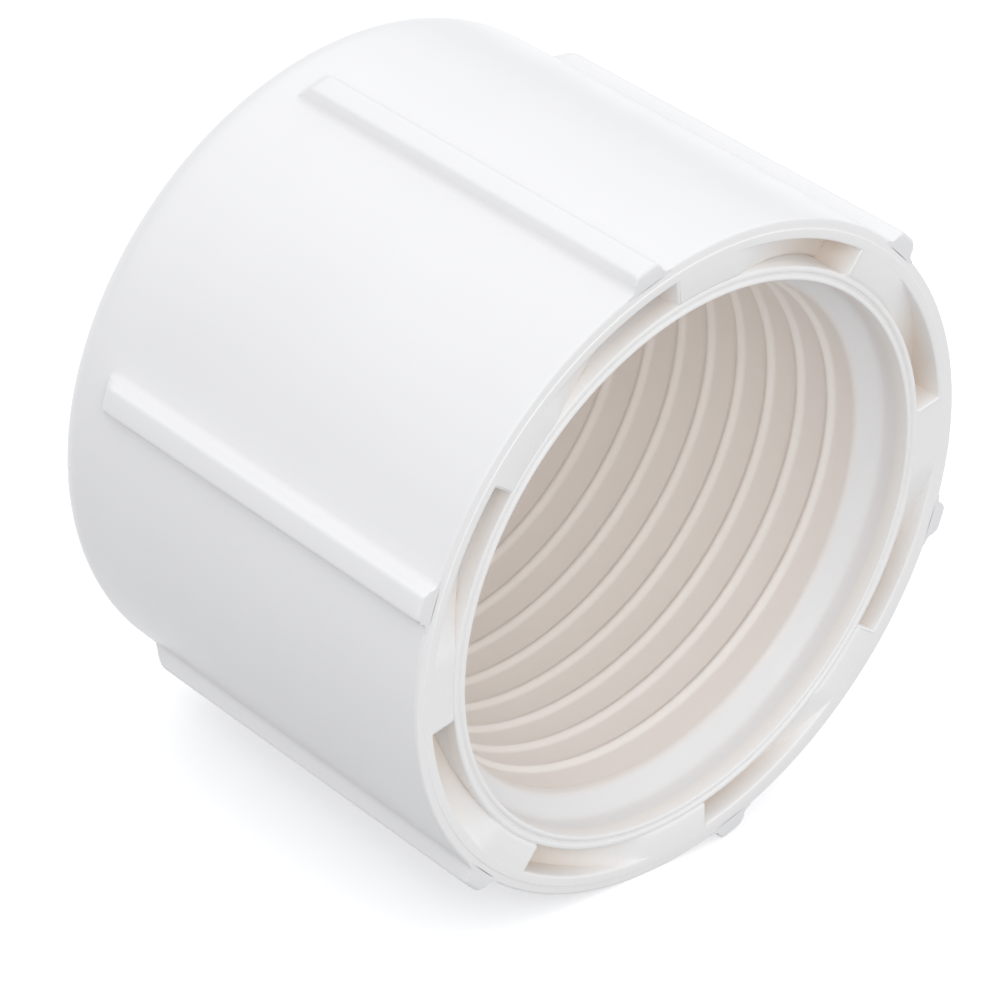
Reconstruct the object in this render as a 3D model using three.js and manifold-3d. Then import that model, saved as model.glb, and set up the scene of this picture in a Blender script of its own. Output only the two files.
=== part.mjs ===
// One-inch female-threaded pipe cap, as its moulded features.
// Millimetres, +Z up. The cap lies on its side with its axis level, on the
// outer wall and one grip rib: the mouth faces -Y, the closed end faces +Y.
import * as THREE from "three";
import { mergeVertices } from "three/addons/utils/BufferGeometryUtils.js";
import Module from "manifold-3d";

const wasm = await Module();
wasm.setup();

// ---- Driving dimensions -------------------------------------------------
const LENGTH = 30.6; // closed end to mouth plane
const RIM_RADIUS = 20.55; // outside of the rim at the mouth
const END_RADIUS = 20.0; // outside at the closed end, before its round corner
const CORNER_RADIUS = 2.6;
const END_THICKNESS = 4.0;
const GAP = 0.3; // clearance between neighbouring features

const SHELL_BORE = 19.4; // inside of the outer wall
const LIP_OUTER = 17.7;
const LIP_INNER = 16.9;
const LIP_SETBACK = 0.12; // lip below the mouth plane
const LIP_HEIGHT = 1.15;

const COUNTERBORE_RADIUS = 16.85; // smooth lead-in that clears the pipe
const COUNTERBORE_DEPTH = 2.0;
const CHAMFER_DEPTH = 1.1;
const CHAMFER_END_RADIUS = 15.85;
const PITCH = 25.4 / 11; // 11 threads to the inch
const THREAD_CREST = 15.2; // radius at the start of the thread
const THREAD_ROOT = 15.8;
const CREST_LEVEL = 0.27; // height of a crest's middle at angle 0, give or take whole pitches
const THREAD_TAPER = 1 / 32; // on the radius, which is 1 in 16 on the diameter

const LAND_COUNT = 8;
const LAND_LEAD = 9.6; // degrees, from the first rib to the first land's square wall
const LAND_WIDTH = 14; // degrees of flat face
const RAMP_DEPTH = 2.45; // ramp's depth where it meets the next square wall
const SLOT_DEPTH = 3.4; // solid wall starts this far below the mouth plane

const RIB_COUNT = 6;
const RIB_HEIGHT = 0.92; // above the outer wall
const RIB_FOOT_WIDTH = 2.2;
const RIB_TOP_WIDTH = 1.3;
const RIB_NEAR_END = 0.1; // from the mouth plane
const RIB_FAR_END = 26.4; // from the mouth plane
// The lowest rib stands this many degrees from straight down, where it and
// the rim touch the same level surface.
const RIB_CREST = RIM_RADIUS + RIB_HEIGHT;
const RIB_REST = THREE.MathUtils.radToDeg(
  Math.acos(RIM_RADIUS / Math.hypot(RIB_CREST, RIB_TOP_WIDTH / 2)) +
    Math.atan(RIB_TOP_WIDTH / 2 / RIB_CREST),
);
const RIB_START = RIB_REST + 270 - 4 * (360 / RIB_COUNT); // first rib, four before the lowest

const ROUND_STEPS = 72; // facets round the plain rings
const THREAD_STEPS = 48; // facets round one turn of the thread

// ---- Helpers ------------------------------------------------------------
const radians = THREE.MathUtils.degToRad;
const outsideRadius = (z) => END_RADIUS + (RIM_RADIUS - END_RADIUS) * (z / LENGTH);

// Profile points are [radius, height]; the ring turns about the local Z axis.
function turned(profile, steps = ROUND_STEPS) {
  const points = profile.map(([r, z]) => new THREE.Vector2(r, z));
  const closed = profile[0][0] > 0 ? [...points, points[0].clone()] : points;
  const geometry = new THREE.LatheGeometry(closed, steps);
  return geometry.rotateX(Math.PI / 2);
}

// Joins equal rings of points into one closed body with a cap at each end.
function lofted(rings) {
  const size = rings[0].length;
  const index = [];
  for (let i = 0; i + 1 < rings.length; i++) {
    for (let j = 0; j < size; j++) {
      const a = i * size + j;
      const b = i * size + ((j + 1) % size);
      index.push(a, b, b + size, a, b + size, a + size);
    }
  }
  const last = (rings.length - 1) * size;
  for (let j = 1; j + 1 < size; j++) {
    index.push(0, j + 1, j, last, last + j, last + j + 1);
  }
  const geometry = new THREE.BufferGeometry();
  geometry.setAttribute("position", new THREE.Float32BufferAttribute(rings.flat(2), 3));
  geometry.setIndex(index);
  return geometry;
}

const polar = (r, degrees, z) => [r * Math.cos(radians(degrees)), r * Math.sin(radians(degrees)), z];

function asSolid(geometry) {
  const bare = geometry.clone();
  bare.deleteAttribute("normal");
  bare.deleteAttribute("uv");
  const merged = mergeVertices(bare, 1e-4);
  const solid = new wasm.Manifold(new wasm.Mesh({
    numProp: 3,
    vertProperties: new Float32Array(merged.attributes.position.array),
    triVerts: new Uint32Array(merged.index.array),
  }));
  return solid;
}

function asGeometry(solid) {
  const mesh = solid.getMesh();
  const geometry = new THREE.BufferGeometry();
  geometry.setAttribute("position", new THREE.BufferAttribute(mesh.vertProperties, 3));
  geometry.setIndex(new THREE.BufferAttribute(mesh.triVerts, 1));
  geometry.computeVertexNormals();
  return geometry;
}

// ---- Features -----------------------------------------------------------
function outerShell() {
  const bottom = END_THICKNESS + GAP;
  const edge = 0.4;
  const middle = edge * (1 - Math.SQRT1_2); // on the round edge, halfway round
  return turned([
    [SHELL_BORE, bottom],
    [outsideRadius(bottom), bottom],
    [outsideRadius(LENGTH - edge), LENGTH - edge],
    [RIM_RADIUS - middle, LENGTH - middle],
    [RIM_RADIUS - edge, LENGTH],
    [SHELL_BORE, LENGTH],
  ]);
}

function closedEnd() {
  const profile = [[0, 0]];
  const cornerSteps = 6;
  for (let i = 0; i <= cornerSteps; i++) {
    const turn = (Math.PI / 2) * (i / cornerSteps);
    profile.push([
      END_RADIUS - CORNER_RADIUS * (1 - Math.sin(turn)),
      CORNER_RADIUS * (1 - Math.cos(turn)),
    ]);
  }
  profile.push([outsideRadius(END_THICKNESS), END_THICKNESS], [0, END_THICKNESS]);
  return turned(profile);
}

// The space that the thread leaves, as one helical body from below the
// sleeve to above the start of the thread. Row j at the end of a turn is row
// j + rowsPerTurn at its beginning, so the seam closes on itself.
function threadSpace() {
  const rowsPerTurn = 4;
  const crestFlat = 0.1; // in pitches, as the heights below
  const rowHeights = [0, crestFlat, 0.28, 0.82]; // crest, crest, root, root
  const top = LENGTH - COUNTERBORE_DEPTH - CHAMFER_DEPTH;
  const start = CREST_LEVEL - (crestFlat / 2) * PITCH;
  const turns = Math.ceil((LENGTH - start) / PITCH);
  const rows = turns * rowsPerTurn;
  const positions = [];
  for (let i = 0; i < THREAD_STEPS; i++) {
    const turn = i / THREAD_STEPS;
    for (let j = 0; j <= rows + (i === 0 ? rowsPerTurn : 0); j++) {
      const phase = j % rowsPerTurn;
      const z = start + (Math.floor(j / rowsPerTurn) + rowHeights[phase] + turn) * PITCH;
      const base = phase < 2 ? THREAD_CREST : THREAD_ROOT;
      const r = base - (top - z) * THREAD_TAPER;
      positions.push(r * Math.cos(turn * 2 * Math.PI), r * Math.sin(turn * 2 * Math.PI), z);
    }
  }
  const firstColumn = rows + rowsPerTurn + 1;
  const at = (i, j) => {
    if (i === 0) return j;
    if (i === THREAD_STEPS) return j + rowsPerTurn;
    return firstColumn + (i - 1) * (rows + 1) + j;
  };
  const index = [];
  for (let i = 0; i < THREAD_STEPS; i++) {
    for (let j = 0; j < rows; j++) {
      index.push(at(i, j), at(i + 1, j), at(i + 1, j + 1));
      index.push(at(i, j), at(i + 1, j + 1), at(i, j + 1));
    }
  }
  const bottomPole = positions.length / 3;
  const topPole = bottomPole + 1;
  positions.push(0, 0, start, 0, 0, start + (turns + 1) * PITCH);
  const bottomRim = [];
  const topRim = [];
  for (let i = 0; i <= THREAD_STEPS; i++) {
    bottomRim.push(at(i, 0));
    topRim.push(at(i, rows));
  }
  for (let j = rowsPerTurn - 1; j > 0; j--) {
    bottomRim.push(j);
    topRim.push(rows + j);
  }
  for (let k = 0; k < bottomRim.length; k++) {
    const next = (k + 1) % bottomRim.length;
    index.push(bottomPole, bottomRim[next], bottomRim[k]);
    index.push(topPole, topRim[k], topRim[next]);
  }
  const geometry = new THREE.BufferGeometry();
  geometry.setAttribute("position", new THREE.Float32BufferAttribute(positions, 3));
  geometry.setIndex(index);
  return asSolid(geometry);
}

function threadedSleeve() {
  const bottom = END_THICKNESS + GAP;
  const top = LENGTH - LIP_SETBACK - LIP_HEIGHT - GAP;
  const blank = asSolid(turned([
    [0, bottom],
    [SHELL_BORE - GAP, bottom],
    [SHELL_BORE - GAP, LENGTH - SLOT_DEPTH - GAP],
    [LIP_OUTER, LENGTH - SLOT_DEPTH - GAP],
    [LIP_OUTER, top],
    [0, top],
  ]));
  const chamferEnd = LENGTH - COUNTERBORE_DEPTH - CHAMFER_DEPTH;
  const leadIn = asSolid(turned([
    [0, chamferEnd],
    [CHAMFER_END_RADIUS, chamferEnd],
    [COUNTERBORE_RADIUS, LENGTH - COUNTERBORE_DEPTH],
    [COUNTERBORE_RADIUS, LENGTH + 1],
    [0, LENGTH + 1],
  ]));
  return asGeometry(blank.subtract(leadIn).subtract(threadSpace()));
}

function mouthLip() {
  const top = LENGTH - LIP_SETBACK;
  const edge = 0.22;
  return turned([
    [LIP_INNER, top - LIP_HEIGHT],
    [LIP_OUTER, top - LIP_HEIGHT],
    [LIP_OUTER, top - edge],
    [LIP_OUTER - edge, top],
    [LIP_INNER + edge, top],
    [LIP_INNER, top - edge],
  ]);
}

// A flat land with a square wall on one side and a ramp that falls away on
// the other, down to the foot of the next land's square wall.
function faceLand(wall) {
  const inner = LIP_OUTER + GAP;
  const outer = SHELL_BORE - GAP;
  const bottom = LENGTH - SLOT_DEPTH;
  const span = 360 / LAND_COUNT;
  const clearance = (GAP / inner) * (180 / Math.PI);
  const rampEnd = span - clearance;
  const angles = [];
  for (let a = 0; a < LAND_WIDTH; a += LAND_WIDTH / 3) angles.push(a);
  const rampSteps = 7;
  for (let i = 0; i <= rampSteps; i++) {
    angles.push(LAND_WIDTH + ((rampEnd - LAND_WIDTH) * i) / rampSteps);
  }
  const rings = angles.map((a) => {
    const fall = Math.max(0, (a - LAND_WIDTH) / (span - LAND_WIDTH)) * RAMP_DEPTH;
    const top = LENGTH - fall;
    return [
      polar(inner, wall - a, bottom),
      polar(outer, wall - a, bottom),
      polar(outer, wall - a, top),
      polar(inner, wall - a, top),
    ];
  });
  return lofted(rings);
}

// A rib along the outer wall: a chamfered bar with a sloped nose at each end.
function gripRib(angle) {
  const near = LENGTH - RIB_NEAR_END;
  const far = LENGTH - RIB_FAR_END;
  const stations = [ // height on the axis, and share of the full rise
    [near, 0.8],
    [near - 0.3, 1],
    [(near + far) / 2, 1],
    [far + 1.5, 1],
    [far + 0.5, 0.75],
    [far, 0.5],
  ];
  const c = Math.cos(radians(angle));
  const s = Math.sin(radians(angle));
  const rings = stations.map(([z, rise]) => {
    const foot = outsideRadius(z) + GAP;
    const crest = outsideRadius(z) + RIB_HEIGHT * rise;
    const shoulder = foot + (crest - foot) * 0.4;
    const halfFoot = RIB_FOOT_WIDTH / 2;
    const halfTop = RIB_TOP_WIDTH / 2;
    const section = [
      [foot, -halfFoot],
      [foot, halfFoot],
      [shoulder, halfFoot],
      [crest, halfTop],
      [crest, -halfTop],
      [shoulder, -halfFoot],
    ];
    return section.map(([r, t]) => [r * c - t * s, r * s + t * c, z]);
  });
  return lofted(rings);
}

// ---- Assembly -----------------------------------------------------------
const white = (roughness) =>
  new THREE.MeshStandardMaterial({ color: 0xf0f0ee, roughness, metalness: 0 });

const cap = new THREE.Group(); // local Z is the cap's axis, mouth upwards
function place(name, geometry, roughness = 0.35) {
  const mesh = new THREE.Mesh(geometry, white(roughness));
  mesh.name = name;
  cap.add(mesh);
}

place("outer_shell", outerShell());
place("closed_end", closedEnd());
place("threaded_sleeve", threadedSleeve(), 0.5);
place("mouth_lip", mouthLip(), 0.3);
for (let i = 0; i < LAND_COUNT; i++) {
  place(`face_land_${i + 1}`, faceLand(RIB_START + LAND_LEAD + (i * 360) / LAND_COUNT), 0.45);
}
for (let i = 0; i < RIB_COUNT; i++) {
  place(`grip_rib_${i + 1}`, gripRib(RIB_START + (i * 360) / RIB_COUNT));
}

// Lay the cap down with its mouth towards -Y.
cap.rotation.x = Math.PI / 2;
cap.updateMatrixWorld(true);
const box = new THREE.Box3().setFromObject(cap, true);
const middle = box.getCenter(new THREE.Vector3());
cap.position.set(-middle.x, -middle.y, -box.min.z);

const pipeCap = new THREE.Group();
pipeCap.add(cap);
export default pipeCap;
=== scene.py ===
import math

import bmesh
import bpy
from mathutils import Matrix, Vector


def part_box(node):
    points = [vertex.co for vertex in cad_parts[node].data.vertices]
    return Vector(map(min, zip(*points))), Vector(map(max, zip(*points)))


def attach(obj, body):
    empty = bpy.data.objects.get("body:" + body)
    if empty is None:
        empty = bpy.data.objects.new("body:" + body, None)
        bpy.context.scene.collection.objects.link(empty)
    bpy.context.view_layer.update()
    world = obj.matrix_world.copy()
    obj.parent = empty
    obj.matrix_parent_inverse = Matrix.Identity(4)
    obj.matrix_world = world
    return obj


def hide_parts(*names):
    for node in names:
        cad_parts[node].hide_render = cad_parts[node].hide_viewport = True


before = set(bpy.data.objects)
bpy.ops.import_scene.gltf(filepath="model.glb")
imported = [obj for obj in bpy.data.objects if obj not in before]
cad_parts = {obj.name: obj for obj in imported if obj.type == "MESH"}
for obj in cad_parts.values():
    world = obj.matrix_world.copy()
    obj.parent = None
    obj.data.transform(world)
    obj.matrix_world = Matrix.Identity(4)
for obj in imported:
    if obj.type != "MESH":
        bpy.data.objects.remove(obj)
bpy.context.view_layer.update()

# ---- Places taken from the frame ------------------------------------------
# Radii, depths and widths below are in millimetres. Depth runs from the mouth
# plane into the cap, and an angle is measured round the axis from +X to +Z.
MM = 0.001
shell_low, shell_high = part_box("outer_shell")
AXIS_Z = (shell_low.z + shell_high.z) / 2
MOUTH_Y = shell_low.y
LENGTH = (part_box("closed_end")[1].y - MOUTH_Y) / MM

# ---- Driving dimensions ---------------------------------------------------
RIM_RADIUS = 20.55  # outside of the shell at the mouth
END_RADIUS = 20.0  # outside of the closed end, before its round corner
CORNER_RADIUS = 2.5
END_THICKNESS = 4.0
SHELL_BORE = 19.35  # inside of the outer wall
RIM_CORNER_DEPTH = 0.5  # where the rim's rounded outer corner starts
RIM_STEP, RIM_STEP_RADIUS = 0.06, 19.95  # a fine step round the rim's face
GATE_RADIUS, GATE_DEPTH, GATE_EDGE = 3.2, 0.35, 0.25  # sunk disc in the closed end
PIP_RADIUS, PIP_HEIGHT = 0.8, 0.1  # low mark in the disc's middle

LIP_INNER = 16.9  # the lip's inner corner at the mouth
BEAD_INNER = 17.3  # a shallow groove parts the two beads of the lip
BEAD_OUTER = 17.72
LIP_DEPTH = 0.06
GROOVE_DEPTH = 0.26

SLEEVE_TOP = 0.9  # depth where the lip passes into the sleeve
COUNTERBORE_RADIUS = 16.85
COUNTERBORE_DEPTH = 1.9
CHAMFER_END = 3.05
CHAMFER_RADIUS = 15.7
CHAMFER_FILLET = 0.22  # of the chamfer's depth, how softly the counterbore turns into it
PITCH = 25.4 / 11
THREAD_CREST = 15.4  # radius of the crests where the thread starts
THREAD_ROOT = 15.7
THREAD_BLEND = 0.2  # rounding between the lead-in and the thread
CREST_LEVEL = 0.27  # height of a crest at angle 0, from the closed end
CREST_HALF = 0.015  # of the pitch, on the round of a crest
RIDGE_HALF = 0.16  # of the pitch, from a crest's middle to the ridge's foot
THREAD_START = 3.1  # depth where the crests begin to rise
THREAD_FULL = 4.4  # depth where they have their full height
THREAD_TAPER = 1 / 32  # on the radius

RIB_COUNT = 6
RIB_START = 48.65
RIB_HEIGHT = 0.92
RIB_NEAR_DEPTH = 0.06
RIB_FAR_DEPTH = 26.8
RIB_HALF_TOP = 0.62
RIB_HALF_FOOT = 1.02
RIB_FILLET = 0.55
RIB_SHOULDER = 0.24  # depth of the rounded top corners
RIB_NEAR_RUN = 0.32  # length over which a rib rises at the mouth
RIB_NEAR_RISE = 0.7  # of its height, where it starts
RIB_FAR_RUN = 1.3  # length over which it dies out

LAND_COUNT = 8
LAND_SPAN = 360 / LAND_COUNT
LAND_START = RIB_START + 9.6  # square wall of the first land
LAND_WIDTH = 14.0  # degrees
LAND_EDGE = 0.14  # rounding of its square wall's top
LAND_RADIUS = 18.5  # the middle of a land, where its edge is measured
LAND_DROP = 0.004  # keeps the lands just below the mouth plane
RAMP_DEPTH = 2.45
RAMP_OVERLAP = 0.4  # degrees that a ramp runs on under the next land
RAMP_FILLET = 0.02  # of the ramp's run, how softly the flat turns into it
SLOT_DEPTH = 3.4

ROUND_STEPS = 240
SLEEVE_STEPS = 216
SLEEVE_ROW = 0.09  # between the rows of the thread's mesh

# ---- Light ----------------------------------------------------------------
SKY_LOW, SKY_HIGH = 0.42, 1.03  # brightness of the studio below and above
KEY_POWER = 0.25  # watts
FRONT_POWER = 0.95

# ---- Camera ---------------------------------------------------------------
AZIMUTH, ELEVATION, ROLL = -47.3, 30.5, 7.3  # degrees
CAMERA_AIM = (-6.6, -6.6, 22.3)
CAMERA_DISTANCE = 381.9
CAMERA_LENS, CAMERA_SENSOR = 252, 36


def outside_radius(depth):
    """Radius of the shell's slightly tapered outside."""
    return RIM_RADIUS - (RIM_RADIUS - END_RADIUS) * depth / LENGTH


def at(radius, degrees, depth):
    """The point at this radius, angle and depth, in metres."""
    turn = math.radians(degrees)
    return Vector((
        radius * math.cos(turn) * MM,
        MOUTH_Y + depth * MM,
        AXIS_Z + radius * math.sin(turn) * MM,
    ))


# ---- Mesh helpers ---------------------------------------------------------
def make_piece(name, points, faces, sharp=32):
    """A smooth-shaded mesh whose edges over sharp degrees stay crisp."""
    mesh = bpy.data.meshes.new(name)
    mesh.from_pydata(points, [], faces)
    mesh.validate()
    mesh.update()
    mesh.shade_smooth()
    mesh.set_sharp_from_angle(angle=math.radians(sharp))
    piece = bpy.data.objects.new(name, mesh)
    bpy.context.scene.collection.objects.link(piece)
    return piece


def rounded(corners, steps=5):
    """A closed outline with arcs at its corners. A corner is (x, y, radius)."""
    outline = []
    count = len(corners)
    for i, (x, y, radius) in enumerate(corners):
        here = Vector((x, y))
        before = Vector(corners[i - 1][:2]) - here
        after = Vector(corners[(i + 1) % count][:2]) - here
        if radius <= 0:
            outline.append((x, y))
            continue
        half = before.angle(after) / 2
        cut = min(radius / math.tan(half), before.length * 0.49, after.length * 0.49)
        start, end = before.normalized() * cut, after.normalized() * cut
        for k in range(steps + 1):
            t = k / steps
            # a quadratic arc, tangent to both sides
            outline.append(tuple(here + start * (1 - t) ** 2 + end * t**2))
    return outline


def band(a, b, size):
    """The faces between two closed outlines whose points start at a and b."""
    faces = []
    for j in range(size):
        k = (j + 1) % size
        faces.append((a + j, a + k, b + k, b + j))
    return faces


def turned(name, outline_at, steps=ROUND_STEPS, sharp=32):
    """A ring about the cap's axis; outline_at(degrees) gives [radius, depth] points."""
    points, faces = [], []
    size = len(outline_at(0.0))
    for i in range(steps):
        degrees = 360 * i / steps
        points += [at(r, degrees, d) for r, d in outline_at(degrees)]
        faces += band(i * size, ((i + 1) % steps) * size, size)
    return make_piece(name, points, faces, sharp)


def turned_solid(name, profile, steps=ROUND_STEPS):
    """A body of revolution whose open profile starts and ends on the axis."""
    inner = profile[1:-1]
    size = len(inner)
    points = [at(0, 0, profile[0][1]), at(0, 0, profile[-1][1])]
    faces = []
    for i in range(steps):
        points += [at(r, 360 * i / steps, d) for r, d in inner]
    for i in range(steps):
        a, b = 2 + i * size, 2 + ((i + 1) % steps) * size
        faces.append((0, a, b))
        faces.append((1, b + size - 1, a + size - 1))
        for j in range(size - 1):
            faces.append((a + j, a + j + 1, b + j + 1, b + j))
    return make_piece(name, points, faces)


def lofted(name, rings, sharp=32):
    """A closed body through a row of outlines, with flat ends."""
    size = len(rings[0])
    points = [p for ring in rings for p in ring]
    faces = []
    for i in range(len(rings) - 1):
        faces += band(i * size, (i + 1) * size, size)
    faces.append(tuple(reversed(range(size))))
    last = (len(rings) - 1) * size
    faces.append(tuple(range(last, last + size)))
    return make_piece(name, points, faces, sharp)


def face_out(piece):
    """Turns a closed mesh's faces outwards."""
    work = bmesh.new()
    work.from_mesh(piece.data)
    bmesh.ops.recalc_face_normals(work, faces=work.faces)
    if work.calc_volume(signed=True) < 0:
        bmesh.ops.reverse_faces(work, faces=work.faces)
    work.to_mesh(piece.data)
    work.free()


def smooth_step(t):
    """0 below 0, 1 above 1, and an even S curve between."""
    t = min(1.0, max(0.0, t))
    return t * t * (3 - 2 * t)


def soft_ramp(t, fillet):
    """t where it is above 0, and near 0 below, with the corner rounded."""
    return (t + math.sqrt(t * t + fillet * fillet)) / 2


def soft_max(a, b, width):
    """The larger of two values, with the corner between them rounded."""
    blend = max(0.0, 1 - abs(a - b) / width)
    return max(a, b) + blend * blend * width / 4


# ---- Pieces ---------------------------------------------------------------
def on_land(degrees):
    """1 on the flat of a land, 0 in a pocket, with a short change between."""
    behind = (LAND_START - degrees) % LAND_SPAN
    edge = 0.6
    return smooth_step((LAND_WIDTH + edge - behind) / edge) * smooth_step(behind / edge)


def outer_shell():
    bottom = LENGTH - END_THICKNESS

    def outline(degrees):
        inner_edge = 0.03 + 0.13 * (1 - on_land(degrees))  # round only where a pocket is
        return rounded([
            (SHELL_BORE, bottom, 0),
            (outside_radius(bottom), bottom, 0),
            (outside_radius(RIM_CORNER_DEPTH), RIM_CORNER_DEPTH, 0),
            (RIM_RADIUS, RIM_STEP, 0.3),
            (RIM_STEP_RADIUS + 0.04, RIM_STEP, 0.03),
            (RIM_STEP_RADIUS, 0.0, 0.03),
            (SHELL_BORE, 0.0, inner_edge),
            (SHELL_BORE, SLEEVE_TOP, 0),
        ])

    return turned("outer_shell_moulding", outline)


def closed_end():
    top = LENGTH - END_THICKNESS
    profile = [(0, top), (outside_radius(top), top)]
    steps = 14
    wall = outside_radius(LENGTH - CORNER_RADIUS)
    for k in range(steps + 1):
        turn = math.pi / 2 * k / steps
        profile.append((
            wall - CORNER_RADIUS * (1 - math.cos(turn)),
            LENGTH - CORNER_RADIUS * (1 - math.sin(turn)),
        ))
    sunk = LENGTH - GATE_DEPTH
    profile += [
        (GATE_RADIUS + GATE_EDGE, LENGTH),
        (GATE_RADIUS + GATE_EDGE * 0.3, LENGTH - GATE_EDGE * 0.3),
        (GATE_RADIUS, sunk),
        (PIP_RADIUS, sunk),
        (PIP_RADIUS - PIP_HEIGHT, sunk + PIP_HEIGHT),
        (0, sunk + PIP_HEIGHT),
    ]
    return turned_solid("closed_end_moulding", profile)


def thread_radius(degrees, depth):
    """Radius of the tapered, right-handed thread on its own."""
    turns = (LENGTH - depth - CREST_LEVEL) / PITCH - degrees / 360
    away = abs(turns - round(turns))  # pitches from the nearest crest
    share = (away - CREST_HALF) / (RIDGE_HALF - CREST_HALF)
    base = THREAD_CREST + (THREAD_ROOT - THREAD_CREST) * smooth_step(share)
    return base - (depth - THREAD_START) * THREAD_TAPER


def lead_in_radius(depth):
    """Radius of the smooth counterbore and its chamfer."""
    past = (depth - COUNTERBORE_DEPTH) / (CHAMFER_END - COUNTERBORE_DEPTH)
    fall = soft_ramp(past, CHAMFER_FILLET)
    return COUNTERBORE_RADIUS + (CHAMFER_RADIUS - COUNTERBORE_RADIUS) * fall


def bore_radius(degrees, depth):
    """The lead-in, which runs out into the thread over the first turn."""
    full = smooth_step((depth - THREAD_START) / (THREAD_FULL - THREAD_START))
    thread = THREAD_ROOT + (thread_radius(degrees, depth) - THREAD_ROOT) * full
    return soft_max(lead_in_radius(depth), thread, THREAD_BLEND)


def threaded_sleeve():
    bottom = LENGTH - END_THICKNESS
    rows = int((bottom - SLEEVE_TOP) / SLEEVE_ROW)
    depths = [SLEEVE_TOP + (bottom - SLEEVE_TOP) * j / rows for j in range(rows + 1)]
    outer = SHELL_BORE + 0.1
    neck = BEAD_OUTER - 0.02
    back = [(outer, bottom), (outer, SLOT_DEPTH), (neck, SLOT_DEPTH), (neck, SLEEVE_TOP)]

    def outline(degrees):
        return [(bore_radius(degrees, depth), depth) for depth in depths] + back

    return turned("threaded_sleeve_moulding", outline, SLEEVE_STEPS, sharp=50)


def mouth_lip():
    outline = rounded([
        (lead_in_radius(SLEEVE_TOP), SLEEVE_TOP, 0),
        (LIP_INNER, LIP_DEPTH, 0.3),
        (BEAD_INNER - 0.16, LIP_DEPTH, 0.16),
        (BEAD_INNER - 0.06, GROOVE_DEPTH, 0.1),
        (BEAD_INNER + 0.02, GROOVE_DEPTH, 0.1),
        (BEAD_INNER + 0.1, LIP_DEPTH, 0.14),
        (BEAD_OUTER, LIP_DEPTH, 0.2),
        (BEAD_OUTER, SLEEVE_TOP, 0),
    ])
    return turned("mouth_lip_moulding", lambda degrees: outline)


def face_land(number):
    """A land and the ramp behind it. A station is (degrees behind the wall, depth)."""
    wall = LAND_START + number * LAND_SPAN
    inner, outer = BEAD_OUTER - 0.02, SHELL_BORE + 0.15
    degrees_per_mm = 180 / math.pi / LAND_RADIUS
    stations = []
    edge_steps, flat_steps, ramp_steps = 5, 10, 40
    for k in range(edge_steps + 1):  # the rounded top of the square wall
        turn = math.pi / 2 * k / edge_steps
        run = LAND_EDGE * (1 - math.cos(turn))
        stations.append((run * degrees_per_mm, LAND_EDGE * (1 - math.sin(turn))))
    ramp_end = LAND_SPAN + RAMP_OVERLAP
    flat_end = LAND_WIDTH - 1.0
    for k in range(1, flat_steps + 1):
        stations.append((LAND_WIDTH * k / flat_steps - 1.0, 0.0))
    for k in range(1, ramp_steps + 1):
        a = flat_end + (ramp_end - flat_end) * k / ramp_steps
        share = (a - LAND_WIDTH) / (LAND_SPAN - LAND_WIDTH)
        stations.append((a, soft_ramp(share, RAMP_FILLET) * RAMP_DEPTH))
    rings = []
    for a, top in stations:
        top += LAND_DROP
        section = [
            (inner, SLOT_DEPTH + 0.6),
            (outer, SLOT_DEPTH + 0.6),
            (outer, top),
            (inner + 0.26, top),
            (inner + 0.13, top + 0.05),
            (inner, top + 0.2),
        ]
        rings.append([at(r, wall - a, d) for r, d in section])
    return lofted(f"face_land_moulding_{number + 1}", rings)


def rib_section(depth, rise):
    """Half outline of a rib, from its fillet's foot to its crest, as (radius, offset)."""
    wall = outside_radius(depth)
    crest = wall + max(0.02, RIB_HEIGHT * rise)
    shoulder = RIB_SHOULDER * min(1.0, rise)
    half = [(wall - 0.25, RIB_HALF_FOOT + RIB_FILLET)]
    fillet_steps = 5
    foot = wall - (RIB_HALF_FOOT + RIB_FILLET) ** 2 / (2 * wall)
    size = min(RIB_FILLET, RIB_HEIGHT * rise * 0.7)
    for k in range(fillet_steps + 1):
        t = k / fillet_steps
        offset = RIB_HALF_FOOT + RIB_FILLET * (1 - t) ** 2 - 0.06 * t
        half.append((foot - 0.01 + size * t**2 + 0.02 * t, offset))
    slope_top = crest - shoulder
    half.append((slope_top, RIB_HALF_TOP + 0.2))
    for k in range(1, 5):
        t = k / 4
        half.append((
            slope_top + shoulder * (1 - (1 - t) ** 2),
            RIB_HALF_TOP + 0.2 - 0.34 * t**1.6,
        ))
    return half


def grip_rib(number):
    """A rib along the shell. A station is (depth, share of the rib's height)."""
    angle = RIB_START + number * 360 / RIB_COUNT
    start, stop = RIB_NEAR_DEPTH + RIB_NEAR_RUN, RIB_FAR_DEPTH - RIB_FAR_RUN
    near_steps, middle_steps, far_steps = 6, 16, 7
    stations = []
    for k in range(near_steps + 1):
        turn = math.pi / 2 * k / near_steps
        depth = RIB_NEAR_DEPTH + RIB_NEAR_RUN * (1 - math.cos(turn))
        stations.append((depth, RIB_NEAR_RISE + (1 - RIB_NEAR_RISE) * math.sin(turn)))
    for k in range(1, middle_steps + 1):
        stations.append((start + (stop - start) * k / middle_steps, 1.0))
    for k in range(1, far_steps + 1):
        t = k / far_steps
        rise = math.cos(math.pi / 2 * t) * 0.95 + 0.05
        stations.append((stop + RIB_FAR_RUN * t, rise))
    turn = math.radians(angle)
    across = Vector((-math.sin(turn), 0, math.cos(turn)))
    rings = []
    for depth, rise in stations:
        half = rib_section(depth, rise)
        outline = half + [(r, -offset) for r, offset in reversed(half)]
        rings.append([at(r, angle, depth) + across * offset * MM for r, offset in outline])
    return lofted(f"grip_rib_moulding_{number + 1}", rings, sharp=40)


# ---- Materials ------------------------------------------------------------
BUMP_DISTANCE = 0.0001  # metres
ROUGHNESS_SPREAD = 0.05


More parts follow.
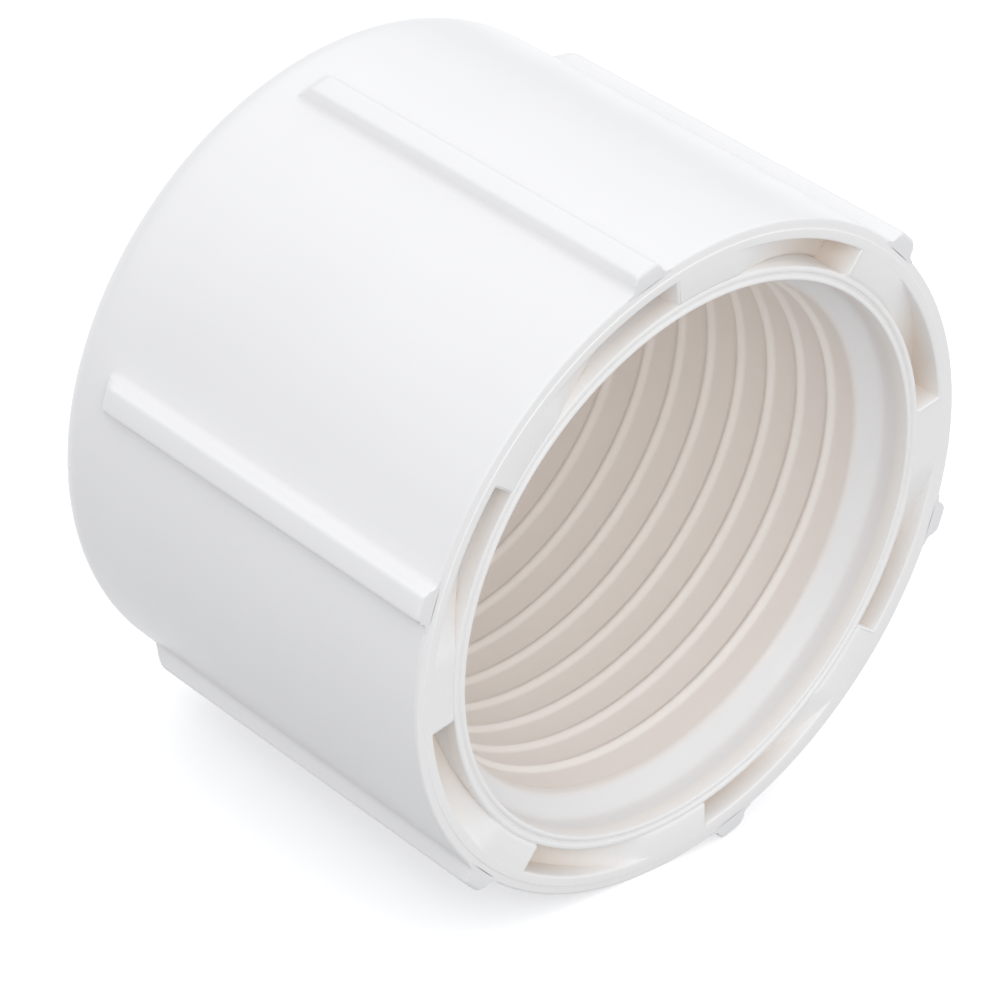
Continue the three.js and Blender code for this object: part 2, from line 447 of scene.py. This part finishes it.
def moulded_plastic(name, colour, roughness, tint, bump=0.04, brushed=0.0, shade_with_depth=None):
    """White PVC: faint cloudy colour, uneven gloss and a very fine moulded skin.

    brushed adds fine marks. The last argument is (tone, start, full): a painted shade,
    the tone that it turns to between two depths below the mouth plane, for the shade in the
    cap's hollows.
    """
    material = bpy.data.materials.new(name)
    material.use_nodes = True
    nodes, links = material.node_tree.nodes, material.node_tree.links
    shader = nodes["Principled BSDF"]
    place = nodes.new("ShaderNodeTexCoord")

    def noise(scale, detail, stretch=None):
        texture = nodes.new("ShaderNodeTexNoise")
        texture.inputs["Scale"].default_value = scale
        texture.inputs["Detail"].default_value = detail
        source = place.outputs["Object"]
        if stretch:
            mapping = nodes.new("ShaderNodeMapping")
            mapping.inputs["Scale"].default_value = stretch
            links.new(source, mapping.inputs["Vector"])
            source = mapping.outputs["Vector"]
        links.new(source, texture.inputs["Vector"])
        return texture.outputs["Fac"]

    def ramp(source, low, high, start=0.35, end=0.65):
        stops = nodes.new("ShaderNodeValToRGB")
        stops.color_ramp.elements[0].position = start
        stops.color_ramp.elements[1].position = end
        stops.color_ramp.elements[0].color = (*low, 1)
        stops.color_ramp.elements[1].color = (*high, 1)
        links.new(source, stops.inputs["Fac"])
        return stops.outputs["Color"]

    tone = ramp(noise(90, 3), tint, colour)
    # Painted shade: the colour turns to the given tone further below the mouth plane, where
    # the cap's hollows lie in shade.
    if shade_with_depth:
        shade_tone, start, full = shade_with_depth
        split = nodes.new("ShaderNodeSeparateXYZ")
        links.new(place.outputs["Object"], split.inputs["Vector"])
        below = nodes.new("ShaderNodeMapRange")
        below.inputs["From Min"].default_value = MOUTH_Y + start * MM
        below.inputs["From Max"].default_value = MOUTH_Y + full * MM
        links.new(split.outputs["Y"], below.inputs["Value"])
        blend = nodes.new("ShaderNodeMix")
        blend.data_type = "RGBA"
        blend.inputs["B"].default_value = (*shade_tone, 1)
        links.new(below.outputs["Result"], blend.inputs["Factor"])
        links.new(tone, blend.inputs["A"])
        tone = blend.outputs["Result"]
    links.new(tone, shader.inputs["Base Color"])
    gloss = nodes.new("ShaderNodeMapRange")
    gloss.inputs["To Min"].default_value = roughness - ROUGHNESS_SPREAD
    gloss.inputs["To Max"].default_value = roughness + ROUGHNESS_SPREAD
    links.new(noise(260, 4), gloss.inputs["Value"])
    links.new(gloss.outputs["Result"], shader.inputs["Roughness"])

    skin = nodes.new("ShaderNodeBump")
    skin.inputs["Strength"].default_value = bump
    skin.inputs["Distance"].default_value = BUMP_DISTANCE
    links.new(noise(1500, 3), skin.inputs["Height"])
    if brushed:
        marks = nodes.new("ShaderNodeBump")
        marks.inputs["Strength"].default_value = brushed
        marks.inputs["Distance"].default_value = BUMP_DISTANCE
        links.new(noise(900, 2, (4.0, 1.0, 0.35)), marks.inputs["Height"])
        links.new(skin.outputs["Normal"], marks.inputs["Normal"])
        skin = marks
    links.new(skin.outputs["Normal"], shader.inputs["Normal"])
    shader.inputs["IOR"].default_value = 1.53
    return material


def floor_material():
    material = bpy.data.materials.new("pale_floor")
    material.use_nodes = True
    shader = material.node_tree.nodes["Principled BSDF"]
    shader.inputs["Base Color"].default_value = (0.97, 0.97, 0.97, 1)
    shader.inputs["Roughness"].default_value = 0.35
    shader.inputs["Emission Color"].default_value = (1, 1, 1, 1)
    shader.inputs["Emission Strength"].default_value = 0.3
    return material


# ---- Stage ----------------------------------------------------------------
def make_floor():
    half = 1.6  # metres
    mesh = bpy.data.meshes.new("floor")
    mesh.from_pydata([(-half, -half, 0), (half, -half, 0), (half, half, 0), (-half, half, 0)],
                     [], [(0, 1, 2, 3)])
    floor = bpy.data.objects.new("floor", mesh)
    bpy.context.scene.collection.objects.link(floor)
    mesh.materials.append(floor_material())
    floor.visible_diffuse = False  # the studio's own fill lights the underside


def make_world():
    """A white backdrop for the camera, and a softer studio that lights the cap."""
    world = bpy.data.worlds.new("studio")
    world.use_nodes = True
    nodes, links = world.node_tree.nodes, world.node_tree.links
    seen = nodes["Background"]
    seen.inputs["Color"].default_value = (1, 1, 1, 1)
    seen.inputs["Strength"].default_value = 1.0
    fill = nodes.new("ShaderNodeBackground")
    fill.inputs["Color"].default_value = (0.97, 0.98, 1, 1)
    place = nodes.new("ShaderNodeTexCoord")
    split = nodes.new("ShaderNodeSeparateXYZ")
    height = nodes.new("ShaderNodeMapRange")
    height.inputs["From Min"].default_value = -0.6
    height.inputs["From Max"].default_value = 0.8
    height.inputs["To Min"].default_value = SKY_LOW
    height.inputs["To Max"].default_value = SKY_HIGH
    links.new(place.outputs["Generated"], split.inputs["Vector"])
    links.new(split.outputs["Z"], height.inputs["Value"])
    links.new(height.outputs["Result"], fill.inputs["Strength"])
    path = nodes.new("ShaderNodeLightPath")
    mix = nodes.new("ShaderNodeMixShader")
    links.new(path.outputs["Is Camera Ray"], mix.inputs["Fac"])
    links.new(fill.outputs["Background"], mix.inputs[1])
    links.new(seen.outputs["Background"], mix.inputs[2])
    links.new(mix.outputs["Shader"], nodes["World Output"].inputs["Surface"])
    bpy.context.scene.world = world


def softbox(name, place, size, power, colour=(1, 1, 1)):
    """A square lamp that faces the cap."""
    light = bpy.data.lights.new(name, "AREA")
    light.shape = "RECTANGLE"
    light.size, light.size_y = size
    light.energy = power
    light.color = colour
    lamp = bpy.data.objects.new(name, light)
    lamp.location = place
    target = Vector((0, 0, AXIS_Z))
    lamp.rotation_mode = "QUATERNION"
    lamp.rotation_quaternion = (target - Vector(place)).to_track_quat("-Z", "Y")
    lamp.visible_camera = False
    bpy.context.scene.collection.objects.link(lamp)


def make_camera():
    azimuth, elevation, roll = (math.radians(a) for a in (AZIMUTH, ELEVATION, ROLL))
    aim = Vector(CAMERA_AIM) * MM
    back = Vector((
        math.sin(azimuth) * math.cos(elevation),
        -math.cos(azimuth) * math.cos(elevation),
        math.sin(elevation),
    ))
    data = bpy.data.cameras.new("camera")
    data.lens = CAMERA_LENS
    data.sensor_width = CAMERA_SENSOR
    data.clip_start = 0.01
    data.clip_end = 10
    camera = bpy.data.objects.new("camera", data)
    turn = (-back).to_track_quat("-Z", "Y").to_matrix() @ Matrix.Rotation(roll, 3, "Z")
    camera.matrix_world = Matrix.Translation(aim + back * CAMERA_DISTANCE * MM) @ turn.to_4x4()
    bpy.context.scene.collection.objects.link(camera)
    bpy.context.scene.camera = camera


# ---- Assembly -------------------------------------------------------------
outside_white = moulded_plastic("shell_plastic", (0.9, 0.895, 0.9), 0.3, (0.885, 0.88, 0.886))
# The mouth's plastic gets a lighter colour than the shell's outside, a painted light on its
# faces, and turns brown from 0.2 to 1.7 mm deep, a painted shade in the pockets.
mouth_white = moulded_plastic("mouth_plastic", (0.965, 0.957, 0.95), 0.36, (0.95, 0.94, 0.93),
                              brushed=0.22, shade_with_depth=((0.87, 0.8, 0.735), 0.2, 1.7))
# The bore's colour is kept greyer than the mouth's, a painted shade on the lead-in, and turns
# warm beige about the chamfer's end, a painted tint for the shaded inside of the thread.
bore_white = moulded_plastic("bore_plastic", (0.885, 0.879, 0.878), 0.42, (0.87, 0.863, 0.862),
                             shade_with_depth=((0.92, 0.871, 0.825), 2.75, 3.35))


def paint_mouth(shell):
    """Gives the shell's rim face and inner wall the mouth's material: its brushed marks, and
    its lighter colour and deep brown tone, which are painted light and painted shade.
    """
    shell.data.materials.append(mouth_white)
    for face in shell.data.polygons:
        radius = math.hypot(face.center.x, face.center.z - AXIS_Z) / MM
        on_rim = face.center.y < MOUTH_Y + (RIM_STEP + 0.02) * MM
        if on_rim or radius < SHELL_BORE + 0.05:
            face.material_index = 1


def add(piece, node, material):
    """Finishes a piece, and puts it in place of its CAD node."""
    face_out(piece)
    piece.data.materials.append(material)
    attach(piece, "root")
    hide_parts(node)


shell = outer_shell()
add(shell, "outer_shell", outside_white)
paint_mouth(shell)
add(closed_end(), "closed_end", outside_white)
for i in range(RIB_COUNT):
    add(grip_rib(i), f"grip_rib_{i + 1}", outside_white)
add(threaded_sleeve(), "threaded_sleeve", bore_white)
add(mouth_lip(), "mouth_lip", mouth_white)
for i in range(LAND_COUNT):
    add(face_land(i), f"face_land_{i + 1}", mouth_white)

make_floor()
make_world()
softbox("key", (-0.25, 0.1, 0.75), (0.6, 0.6), KEY_POWER)
softbox("front", (-0.42, -0.5, 0.42), (0.35, 0.35), FRONT_POWER, (1, 0.99, 0.97))
make_camera()
bpy.context.scene.view_settings.view_transform = "Standard"
bpy.context.scene.cycles.diffuse_bounces = 8  # the white bore passes light on many times
